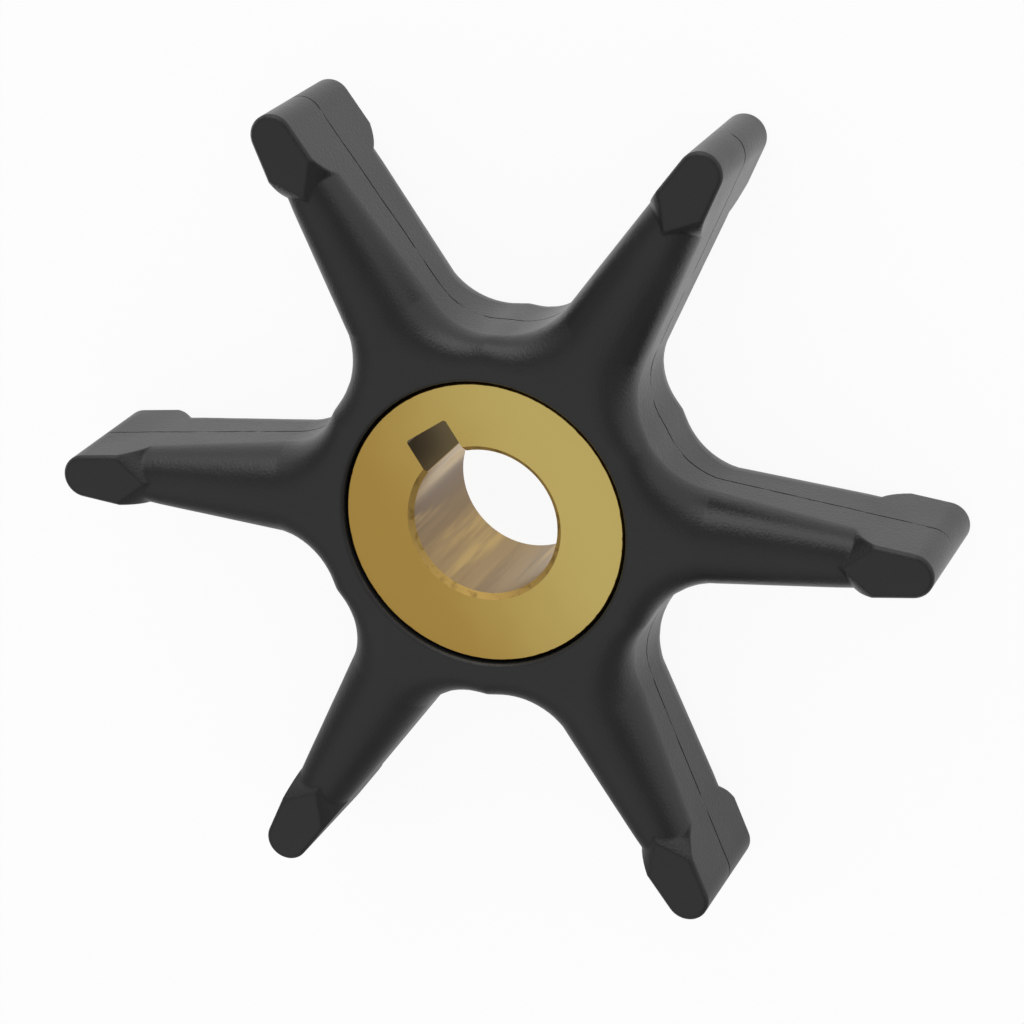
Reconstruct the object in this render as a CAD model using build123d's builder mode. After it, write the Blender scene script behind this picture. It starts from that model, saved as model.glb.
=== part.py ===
from build123d import *
from math import atan2, cos, degrees, radians, sin, sqrt
import os

os.makedirs("parts", exist_ok=True)

# Rubber body, all sizes in millimetres; the axis of the bore is Z
vane_count = 6
tip_radius = 38.5
tip_round = 1.88
flank_slope = 6.7
half_height = 6.75
ring_radius = 16.0
root_fillet = 6.2
edge_break = 0.25

# Rounded crown of a vane, which falls gently from the hub ring to the head
crown_start = 30.2
crown_drop = 0.35
crown_run = 4.0
ring_round = 2.2

# Head of a vane: its face ends inward in a point, with a hollow shoulder on each side
head_apex = 31.0
head_start = 33.8
shoulder_run = 1.9
shoulder_drop = 3.9
shoulder_hollow = 5.0

# Brass insert, and the narrow trench the mould leaves in the rubber round it
insert_radius = 12.3
insert_sink = 0.45
rim_chamfer = 0.15
trench_width = 0.2
trench_depth = 1.6
lip_break = 0.2

# Bore and keyway
bore_radius = 6.35
front_mouth = 0.45
back_mouth = 0.1
keyway_width = 4.15
keyway_floor = 9.2
keyway_corner = 0.25

# The keyway points along X, and the nearest vane stands this far round from it
vane_turn = -4.0

# The fillets at the roots of two vanes take up at most this share of their valley
valley_share = 0.95

# Cutting solids run past the outer walls by the overrun. The rounding of the ring
# tops out this skin above the ring's face, so that it crosses the face at an angle
overrun = 1.0
skin = 0.015

# Derived sizes of the star outline, for a vane that points along X
pitch = 360 / vane_count
slope = radians(flank_slope)
round_centre = tip_radius - tip_round
flank_distance = tip_round + round_centre * sin(slope)
flank_end = round_centre + tip_round * sin(slope)
spread = radians(pitch / 2 + flank_slope)
widest_fillet = (ring_radius * sin(spread) - flank_distance) / (1 - sin(spread))
fillet = min(root_fillet, valley_share * widest_fillet)
fillet_side = flank_distance + fillet
fillet_reach = sqrt((ring_radius + fillet) ** 2 - fillet_side**2)
flank_root = flank_distance * sin(slope) + fillet_reach * cos(slope)
ring_turn = 90 - flank_slope - degrees(atan2(fillet_reach, fillet_side))

# Half height of the insert, whose faces lie a little below those of the rubber
insert_half_height = half_height - insert_sink


def on_flank(x):
    """Half width of a vane at x from the axis."""
    return (flank_distance - x * sin(slope)) / cos(slope)


def turned(x, y, angle):
    """A point of the outline turned about the axis."""
    a = radians(angle)
    return (x * cos(a) - y * sin(a), x * sin(a) + y * cos(a))


def ridge(x):
    """Height of the ridge of a crown, which falls gently outward."""
    return half_height - crown_drop * (x - flank_root) / (crown_start - flank_root)


def full_round(x):
    """Radius that rounds a vane over from flank to flank."""
    return on_flank(x) / cos(slope)


def across(point, outward):
    """Plane across an edge of the outline, X outward and Y up."""
    return Plane(
        origin=(*point, 0),
        x_dir=(*outward, 0),
        z_dir=(outward[1], -outward[0], 0),
    )


def edge_section(plane, radius, top):
    """The corner of rubber that a rounded edge takes off, up to the ring's face."""
    level = min(top, half_height)
    step = top - level
    inner = sqrt(step * (2 * radius - step)) - radius
    above = half_height + overrun
    with BuildSketch(plane) as section:
        with BuildLine():
            Polyline((0, top - radius), (overrun, top - radius), (overrun, above), (inner, above), (inner, level))
            RadiusArc((inner, level), (0, top - radius), radius)
        make_face()
    return section.sketch


# Upper half of the star, drawn up from the parting plane
with BuildPart() as star:
    with BuildSketch() as outline:
        with BuildLine():
            for number in range(vane_count):
                angle = number * pitch
                ring_start = turned(ring_radius, 0, angle - ring_turn)
                near = turned(flank_root, -on_flank(flank_root), angle)
                low = turned(flank_end, -tip_round * cos(slope), angle)
                tip = turned(tip_radius, 0, angle)
                high = turned(flank_end, tip_round * cos(slope), angle)
                far = turned(flank_root, on_flank(flank_root), angle)
                ring_end = turned(ring_radius, 0, angle + ring_turn)
                valley = turned(ring_radius, 0, angle + pitch / 2)
                onward = turned(ring_radius, 0, angle + pitch - ring_turn)
                RadiusArc(ring_start, near, fillet)
                Line(near, low)
                ThreePointArc(low, tip, high)
                Line(high, far)
                RadiusArc(far, ring_end, fillet)
                ThreePointArc(ring_end, valley, onward)
        make_face()
    extrude(amount=half_height)
    chamfer(star.faces().sort_by(Axis.Z)[-1].edges(), length=edge_break)

# Block of a head on one side of its vane, with the hollow shoulder as its inner end
apex = Vector(head_apex, 0)
corner = Vector(head_start, on_flank(head_start))
along = (corner - apex).normalized()
shoulder_plane = Plane(
    origin=(corner.X, corner.Y, half_height),
    x_dir=(-along.Y, along.X, 0),
    z_dir=(along.X, along.Y, 0),
)
block_size = tip_radius - head_apex + overrun
with BuildPart() as head_block:
    with BuildSketch(shoulder_plane) as shoulder:
        with BuildLine():
            RadiusArc((0, 0), (shoulder_run, -shoulder_drop), shoulder_hollow)
            Polyline(
                (shoulder_run, -shoulder_drop),
                (-block_size, -shoulder_drop),
                (-block_size, 2 * overrun),
                (0, 2 * overrun),
                (0, 0),
            )
        make_face()
    extrude(amount=block_size, both=True)

# Rubber taken off along one edge of a crown, from the root out to the shoulder
outward = (sin(slope), cos(slope))
root = (flank_root, on_flank(flank_root))
root_section = edge_section(across(root, outward), full_round(flank_root), ridge(flank_root))
start = (crown_start, on_flank(crown_start))
start_section = edge_section(across(start, outward), full_round(crown_start), ridge(crown_start))
with BuildPart() as crown_edge:
    loft(sections=[root_section, start_section], ruled=True)
    extrude(start_section, amount=crown_run)
    add(head_block.part, mode=Mode.SUBTRACT)

# The same along the fillet at the root and on to the middle of the valley
ring_end = turned(ring_radius, 0, ring_turn)
valley = turned(ring_radius, 0, pitch / 2)
outward_valley = turned(1, 0, pitch / 2)
valley_section = edge_section(across(valley, outward_valley), ring_round, half_height + skin)
with BuildPart() as root_edge:
    with BuildLine() as root_path:
        RadiusArc(root, ring_end, fillet)
        RadiusArc(ring_end, valley, -ring_radius)
    sweep(sections=[root_section, valley_section], path=root_path.wires()[0], multisection=True)

# Trench round the insert, with a bevelled lip where the rubber ring begins
trench_radius = insert_radius + trench_width
trench_floor = half_height - trench_depth
with BuildPart() as trench:
    with BuildSketch(Plane.XZ) as groove:
        with BuildLine():
            Polyline(
                (insert_radius - overrun, trench_floor),
                (trench_radius, trench_floor),
                (trench_radius, half_height - lip_break),
                (trench_radius + lip_break, half_height),
                (trench_radius + lip_break, half_height + overrun),
                (insert_radius - overrun, half_height + overrun),
                (insert_radius - overrun, trench_floor),
            )
        make_face()
    revolve(axis=Axis.Z)

# One moulding: hub ring and six vanes, moulded onto the insert
with BuildPart() as moulding:
    add(star.part)
    Cylinder(insert_radius, 3 * half_height, mode=Mode.SUBTRACT)
    add(trench.part, mode=Mode.SUBTRACT)
    for tool in (crown_edge.part, root_edge.part):
        opposite = mirror(tool, about=Plane.XZ, mode=Mode.PRIVATE)
        for number in range(vane_count):
            add(tool.rotate(Axis.Z, pitch * number), mode=Mode.SUBTRACT)
            add(opposite.rotate(Axis.Z, pitch * number), mode=Mode.SUBTRACT)
    mirror(about=Plane.XY)

# The moulding as it sits round the keyway
with BuildPart() as vane_body:
    with Locations(Location((0, 0, 0), (0, 0, vane_turn))):
        add(moulding.part)
vane_body.part.label = "vane_body"
export_step(vane_body.part, "parts/vane_body.step")

# Turned brass insert with a through bore, a countersunk front mouth and a broached keyway
with BuildPart() as hub_insert:
    Cylinder(insert_radius, 2 * insert_half_height)
    chamfer(hub_insert.edges().filter_by(GeomType.CIRCLE), length=rim_chamfer)
    Cylinder(bore_radius, 2 * insert_half_height, mode=Mode.SUBTRACT)
    for side, mouth in ((1, front_mouth), (-1, back_mouth)):
        with Locations(Plane(origin=(0, 0, side * insert_half_height), z_dir=(0, 0, -side))):
            Cone(
                bore_radius + mouth,
                bore_radius,
                mouth,
                align=(Align.CENTER, Align.CENTER, Align.MIN),
                mode=Mode.SUBTRACT,
            )
    with BuildSketch(Plane.XY.offset(-insert_half_height)) as slot:
        with Locations((keyway_floor / 2, 0)):
            RectangleRounded(keyway_floor, keyway_width, keyway_corner)
    extrude(amount=2 * insert_half_height, mode=Mode.SUBTRACT)
hub_insert.part.label = "hub_insert"
export_step(hub_insert.part, "parts/hub_insert.step")
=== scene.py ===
import math

import bpy
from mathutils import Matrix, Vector

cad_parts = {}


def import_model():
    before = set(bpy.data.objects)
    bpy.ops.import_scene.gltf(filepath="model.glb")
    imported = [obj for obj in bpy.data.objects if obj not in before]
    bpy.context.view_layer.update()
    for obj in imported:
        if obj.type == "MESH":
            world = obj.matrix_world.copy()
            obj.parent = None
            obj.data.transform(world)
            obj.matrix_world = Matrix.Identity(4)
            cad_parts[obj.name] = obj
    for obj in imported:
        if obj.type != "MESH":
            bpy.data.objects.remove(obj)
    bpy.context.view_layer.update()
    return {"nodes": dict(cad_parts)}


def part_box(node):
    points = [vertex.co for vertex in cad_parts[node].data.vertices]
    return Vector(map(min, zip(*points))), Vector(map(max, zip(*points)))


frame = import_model()
rubber_body = frame["nodes"]["vane_body"]
brass_insert = frame["nodes"]["hub_insert"]
floor_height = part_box("vane_body")[0][2]
hub_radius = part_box("hub_insert")[1][0]

# Lengths are in metres, and a scale counts the waves of a noise per metre. A range
# gives the value at which a ramp is 0 and the value at which it is 1.

# Camera: a long lens from above one side, rolled like the photograph
camera_place = (0.034586, -0.141204, 0.279458)
camera_turn = (-20.1846, 19.2093, -124.0244)
camera_lens = 130.233
camera_sensor = 36.0
camera_clip = 0.01

# Light levels, where 1 is white, and the directions that they belong to
white = (1, 1, 1, 1)
paper_white = 1.0
room_level = 0.75
dim_level = 0.22
over_level = 0.53
over_side = Vector((-0.15, 0.50, 0.85))
over_range = (0.60, 0.97)
bright_side = Vector((0.6, -0.8, 0))
bright_range = (-0.1, 0.75)
bright_height_range = (0.80, 0.30)
key_side = (0.85, -0.35, 0.38)
key_width = 0.5
key_distance = 0.7
key_power = 0.85

# White floor: its glow covers most of the paper, and its mirror image has a dim side
floor_size = 8.0
paper_tone = (0.9, 0.9, 0.9, 1)
glow_share = 0.93
floor_bright_level = 0.94
floor_bright_range = (-0.07, 0.015)

# Black rubber: cloudy tone, fine grain and softened edges
rubber_tone = (0.0150, 0.0153, 0.0160, 1)
rubber_bloom = (0.0185, 0.0188, 0.0195, 1)
rubber_roughness = 0.31
rubber_cloud_scale = 150.0
rubber_cloud_detail = 4.0
rubber_cloud_range = (0.35, 0.75)
rubber_cloud_share = 0.7
rubber_cloud_roughness = 0.06
grain_scale = 4200.0
grain_range = (0.55, 0.75)
grain_share = 0.5
grain_strength = 0.40
grain_depth = 0.00008
edge_softness = 0.0004
edge_samples = 6

# The line where the halves of the mould met: it wanders a little and fades in places
seam_tone = (0.002, 0.002, 0.002, 1)
seam_range = (0.00012, 0.00004)
seam_strength = 1.0
seam_depth = 0.00012
seam_wander = 0.0004
seam_wander_scale = 220.0
seam_fade_scale = 400.0
seam_fade_range = (0.30, 0.55)

# Brass: how level a surface lies tells the faces, the mouth of the bore and the walls
brass_roughness = 0.34
wall_range = (0.5, 0.3)
mouth_tilt = 0.7
mouth_tilt_range = (0.20, 0.12)
mark_strength = 0.12
mark_depth = 0.00003

# Faces of the insert, paler on one side and deeper toward the other by a painted reflection, with
# painted shade along a dark ragged rim
face_painted_sheen = (0.90, 0.70, 0.225, 1)
face_painted_shade = (0.66, 0.42, 0.10, 1)
painted_shade_side = Vector((0.12, 0.99, 0))
painted_shade_range = (-0.42, 0.93)
face_cloud_scale = 130.0
face_cloud_share = 0.5
painted_rim_shade = (0.16, 0.08, 0.02, 1)
rim_range = (0.01212, 0.01220)
rim_wander = 0.00025
rim_wander_scale = 1400.0
turning_scale = 5200.0
turning_detail = 2.0

# Worn bevel at the mouth of the bore, rougher than the rest
mouth_tone = (0.74, 0.52, 0.17, 1)
mouth_dark = (0.46, 0.30, 0.09, 1)
mouth_range = (0.00694, 0.00690)
mouth_extra_roughness = 0.34
wear_scale = 1100.0
wear_detail = 4.0
wear_range = (0.48, 0.72)

# Wall of the bore: tan, dull and pink across it, with streaks drawn out along the axis
bore_radius = 0.00635
bore_tan = (0.42, 0.285, 0.13, 1)
bore_dull = (0.22, 0.145, 0.080, 1)
bore_pink = (0.66, 0.50, 0.30, 1)
bore_gold = (0.66, 0.45, 0.16, 1)
dull_side_range = (0.1, 0.75)
pink_side_range = (0.75, 1.05)
side_wander = 0.5
side_wander_scale = 300.0
fine_stretch = (1, 1, 0.06)
broad_stretch = (1, 1, 0.10)
gold_streak_scale = 620.0
gold_streak_range = (0.50, 0.70)
gold_streak_share = 0.7
dull_streak_scale = 900.0
dull_streak_range = (0.45, 0.70)
dull_streak_share = 0.45
drawn_line_scale = 1600.0

# Walls farther out, darkened by painted shade: those of the keyway, and the insert's own outer
# wall
painted_keyway_shade = (0.105, 0.066, 0.006, 1)
keyway_range = (bore_radius + 0.00006, bore_radius + 0.00012)
outer_wall_range = (0.0105, 0.0110)


class Tree:
    """Short names for adding and joining the nodes of one material or world."""

    def __init__(self, owner):
        owner.use_nodes = True
        self.nodes = owner.node_tree.nodes
        self.links = owner.node_tree.links
        self.nodes.clear()

    def put(self, socket, value):
        if isinstance(value, bpy.types.NodeSocket):
            self.links.new(value, socket)
        else:
            socket.default_value = value

    def add(self, kind, *values, settings=(), **inputs):
        node = self.nodes.new("ShaderNode" + kind)
        for name, value in settings:
            setattr(node, name, value)
        for number, value in enumerate(values):
            self.put(node.inputs[number], value)
        for name, value in inputs.items():
            self.put(node.inputs[name.replace("_", " ")], value)
        return node

    def math(self, operation, *values):
        return self.add("Math", *values, settings=[("operation", operation)]).outputs[0]

    def vector(self, operation, *values):
        return self.add("VectorMath", *values, settings=[("operation", operation)])

    def toward(self, place, direction):
        """How far a place or direction lies toward another direction."""
        return self.vector("DOT_PRODUCT", place, direction).outputs["Value"]

    def height(self, place):
        return self.add("SeparateXYZ", place).outputs["Z"]

    def ramp(self, value, limits):
        """0 at the first limit, 1 at the second, smooth between them."""
        node = self.add("MapRange", Value=value, settings=[("interpolation_type", "SMOOTHSTEP")])
        node.inputs["From Min"].default_value = limits[0]
        node.inputs["From Max"].default_value = limits[1]
        return node.outputs[0]

    def mix(self, factor, first, second):
        node = self.add("Mix", factor, settings=[("data_type", "RGBA")])
        self.put(node.inputs[6], first)
        self.put(node.inputs[7], second)
        return node.outputs[2]

    def noise(self, place, scale, detail=3.0):
        return self.add("TexNoise", Vector=place, Scale=scale, Detail=detail).outputs[0]

    def wandered(self, value, place, scale, amount):
        """A value moved up and down by a noise, by half the amount at most."""
        wander = self.math("SUBTRACT", self.noise(place, scale), 0.5)
        return self.math("MULTIPLY_ADD", wander, amount, value)

    def finish(self, shader, kind="OutputMaterial"):
        self.add(kind, Surface=shader.outputs[0])


def dress(node_object, material):
    """Puts one material on every slot of a CAD object."""
    for place in node_object.material_slots:
        place.material = material


def rubber():
    """Satin moulded black rubber with a fine seam at mid height."""
    material = bpy.data.materials.new("black_rubber")
    tree = Tree(material)
    place = tree.add("NewGeometry").outputs["Position"]

    height = tree.wandered(tree.height(place), place, seam_wander_scale, seam_wander)
    seam = tree.ramp(tree.math("ABSOLUTE", height), seam_range)
    fade = tree.ramp(tree.noise(place, seam_fade_scale), seam_fade_range)
    seam = tree.math("MULTIPLY", seam, fade)

    cloud = tree.noise(place, rubber_cloud_scale, rubber_cloud_detail)
    cloud = tree.ramp(cloud, rubber_cloud_range)
    grain = tree.noise(place, grain_scale)
    bloom = tree.math("MULTIPLY", cloud, rubber_cloud_share)
    bloom = tree.math("MULTIPLY_ADD", tree.ramp(grain, grain_range), grain_share, bloom)
    tone = tree.mix(seam, tree.mix(bloom, rubber_tone, rubber_bloom), seam_tone)
    roughness = tree.math("MULTIPLY_ADD", cloud, rubber_cloud_roughness, rubber_roughness)
    roughness = tree.math("MAXIMUM", roughness, seam)

    soft = tree.add("Bevel", Radius=edge_softness, settings=[("samples", edge_samples)])
    ground = tree.add("Bump", Height=grain, Normal=soft.outputs[0])
    ground.inputs["Strength"].default_value = grain_strength
    ground.inputs["Distance"].default_value = grain_depth
    groove = tree.add("Bump", Height=seam, Normal=ground.outputs[0])
    groove.inputs["Strength"].default_value = seam_strength
    groove.inputs["Distance"].default_value = seam_depth
    groove.invert = True
    normal = groove.outputs[0]
    tree.finish(tree.add("BsdfPrincipled", Base_Color=tone, Roughness=roughness, Normal=normal))
    return material


def face_tone(tree, place, flat, radius):
    """Brass face with a painted reflection that deepens toward one side, and painted shade along
    the rim.
    """
    # Painted reflection: paler on one side, deeper in tone toward the other
    painted_shade_amount = tree.math("DIVIDE", tree.toward(flat, painted_shade_side), hub_radius)
    cloud = tree.noise(place, face_cloud_scale)
    painted_shade_amount = tree.math("MULTIPLY_ADD", cloud, face_cloud_share, painted_shade_amount)
    face = tree.mix(tree.ramp(painted_shade_amount, painted_shade_range), face_painted_sheen, face_painted_shade)
    # Painted shade along the rim, with a ragged edge
    ragged_radius = tree.wandered(radius, place, rim_wander_scale, rim_wander)
    return tree.mix(tree.ramp(ragged_radius, rim_range), face, painted_rim_shade)


def wall_tone(tree, place, drawn, radius):
    """Streaked wall of the bore, then painted shade on the keyway's walls and the outer wall, by
    their radius.
    """
    broad = tree.vector("MULTIPLY", place, broad_stretch).outputs[0]
    across = tree.math("DIVIDE", tree.add("SeparateXYZ", place).outputs["X"], bore_radius)
    wander = tree.noise(drawn, side_wander_scale)
    across = tree.math("MULTIPLY_ADD", wander, side_wander, across)
    wall = tree.mix(tree.ramp(across, dull_side_range), bore_tan, bore_dull)
    wall = tree.mix(tree.ramp(across, pink_side_range), wall, bore_pink)
    gold = tree.ramp(tree.noise(broad, gold_streak_scale), gold_streak_range)
    wall = tree.mix(tree.math("MULTIPLY", gold, gold_streak_share), wall, bore_gold)
    dull = tree.ramp(tree.noise(drawn, dull_streak_scale), dull_streak_range)
    wall = tree.mix(tree.math("MULTIPLY", dull, dull_streak_share), wall, bore_dull)
    # Painted shade on the keyway's walls
    wall = tree.mix(tree.ramp(radius, keyway_range), wall, painted_keyway_shade)
    # Painted shade on the insert's outer wall, in the rim's dark tone
    return tree.mix(tree.ramp(radius, outer_wall_range), wall, painted_rim_shade)


def brass():
    """Turned brass: fine rings on the faces, a worn mouth, drawn streaks in the bore."""
    material = bpy.data.materials.new("turned_brass")
    tree = Tree(material)
    geometry = tree.add("NewGeometry")
    place = geometry.outputs["Position"]
    flat = tree.vector("MULTIPLY", place, (1, 1, 0)).outputs[0]
    drawn = tree.vector("MULTIPLY", place, fine_stretch).outputs[0]
    radius = tree.vector("LENGTH", flat).outputs["Value"]
    level = tree.math("ABSOLUTE", tree.height(geometry.outputs["True Normal"]))
    upright = tree.ramp(level, wall_range)

    tilt = tree.math("ABSOLUTE", tree.math("SUBTRACT", level, mouth_tilt))
    tilted = tree.ramp(tilt, mouth_tilt_range)
    mouth = tree.math("MULTIPLY", tree.ramp(radius, mouth_range), tilted)
    wear = tree.ramp(tree.noise(place, wear_scale, wear_detail), wear_range)
    bevel_tone = tree.mix(wear, mouth_tone, mouth_dark)
    face = tree.mix(mouth, face_tone(tree, place, flat, radius), bevel_tone)
    tone = tree.mix(upright, face, wall_tone(tree, place, drawn, radius))
    roughness = tree.math("MULTIPLY_ADD", mouth, mouth_extra_roughness, brass_roughness)

    turned = tree.add("TexNoise", W=radius, settings=[("noise_dimensions", "1D")])
    turned.inputs["Scale"].default_value = turning_scale
    turned.inputs["Detail"].default_value = turning_detail
    rings = tree.math("MULTIPLY", turned.outputs[0], tree.math("SUBTRACT", 1.0, upright))
    lines = tree.math("MULTIPLY", tree.noise(drawn, drawn_line_scale), upright)
    bump = tree.add("Bump", Height=tree.math("ADD", rings, lines))
    bump.inputs["Strength"].default_value = mark_strength
    bump.inputs["Distance"].default_value = mark_depth
    surface = tree.add("BsdfPrincipled", Base_Color=tone, Roughness=roughness)
    surface.inputs["Metallic"].default_value = 1.0
    tree.put(surface.inputs["Normal"], bump.outputs[0])
    tree.finish(surface)
    return material


def seen_by_rays(tree):
    """1 for a ray from the camera, and 1 for a mirrored or transmitted ray."""
    path = tree.add("LightPath")
    glossy, through = path.outputs["Is Glossy Ray"], path.outputs["Is Transmission Ray"]
    return path.outputs["Is Camera Ray"], tree.math("MAXIMUM", glossy, through)


def floor():
    """A white floor that looks white itself and still takes the shadow."""
    bpy.ops.mesh.primitive_plane_add(size=floor_size, location=(0, 0, floor_height))
    sheet = bpy.context.object
    material = bpy.data.materials.new("white_paper")
    tree = Tree(material)
    paper = tree.add("BsdfDiffuse", paper_tone)
    place = tree.add("NewGeometry").outputs["Position"]
    side = tree.ramp(tree.toward(place, bright_side), floor_bright_range)
    camera_ray, mirrored = seen_by_rays(tree)
    level = tree.math("MULTIPLY_ADD", side, floor_bright_level - dim_level, dim_level)
    level = tree.math("MAXIMUM", camera_ray, level)
    glow = tree.add("Emission", Color=white, Strength=level)
    share = tree.math("MULTIPLY", tree.math("MAXIMUM", camera_ray, mirrored), glow_share)
    tree.finish(tree.add("MixShader", share, paper.outputs[0], glow.outputs[0]))
    sheet.data.materials.append(material)


def world():
    """White room; what mirrors show of it is a light overhead and one bright side."""
    room = bpy.data.worlds.new("room")
    bpy.context.scene.world = room
    tree = Tree(room)
    direction = tree.add("TexCoord").outputs["Generated"]
    over = tree.ramp(tree.toward(direction, over_side), over_range)
    low = tree.ramp(tree.height(direction), bright_height_range)
    side = tree.math("MULTIPLY", low, tree.ramp(tree.toward(direction, bright_side), bright_range))
    level = tree.math("MULTIPLY_ADD", over, over_level - dim_level, dim_level)
    level = tree.math("MULTIPLY_ADD", side, paper_white - dim_level, level)
    level = tree.math("MINIMUM", level, paper_white)
    plain = tree.add("Background", Color=white, Strength=room_level)
    mirrored_room = tree.add("Background", Color=white, Strength=level)
    backdrop = tree.add("Background", Color=white, Strength=paper_white)
    camera_ray, mirrored = seen_by_rays(tree)
    inner = tree.add("MixShader", mirrored, plain.outputs[0], mirrored_room.outputs[0])
    outer = tree.add("MixShader", camera_ray, inner.outputs[0], backdrop.outputs[0])
    tree.finish(outer, "OutputWorld")


def key_lamp():
    """A square softbox that looks at the middle of the object."""
    data = bpy.data.lights.new("key", "AREA")
    data.size = key_width
    data.energy = key_power
    lamp = bpy.data.objects.new("key", data)
    toward = Vector(key_side).normalized()
    lamp.location = toward * key_distance
    lamp.rotation_euler = toward.to_track_quat("Z", "Y").to_euler()
    bpy.context.scene.collection.objects.link(lamp)


def camera():
    data = bpy.data.cameras.new("photo_camera")
    data.sensor_width = camera_sensor
    data.lens = camera_lens
    data.clip_start = camera_clip
    viewer = bpy.data.objects.new("photo_camera", data)
    viewer.location = camera_place
    viewer.rotation_euler = [math.radians(angle) for angle in camera_turn]
    bpy.context.scene.collection.objects.link(viewer)
    bpy.context.scene.camera = viewer


dress(rubber_body, rubber())
dress(brass_insert, brass())
floor()
world()
key_lamp()
camera()
bpy.context.scene.view_settings.view_transform = "Standard"
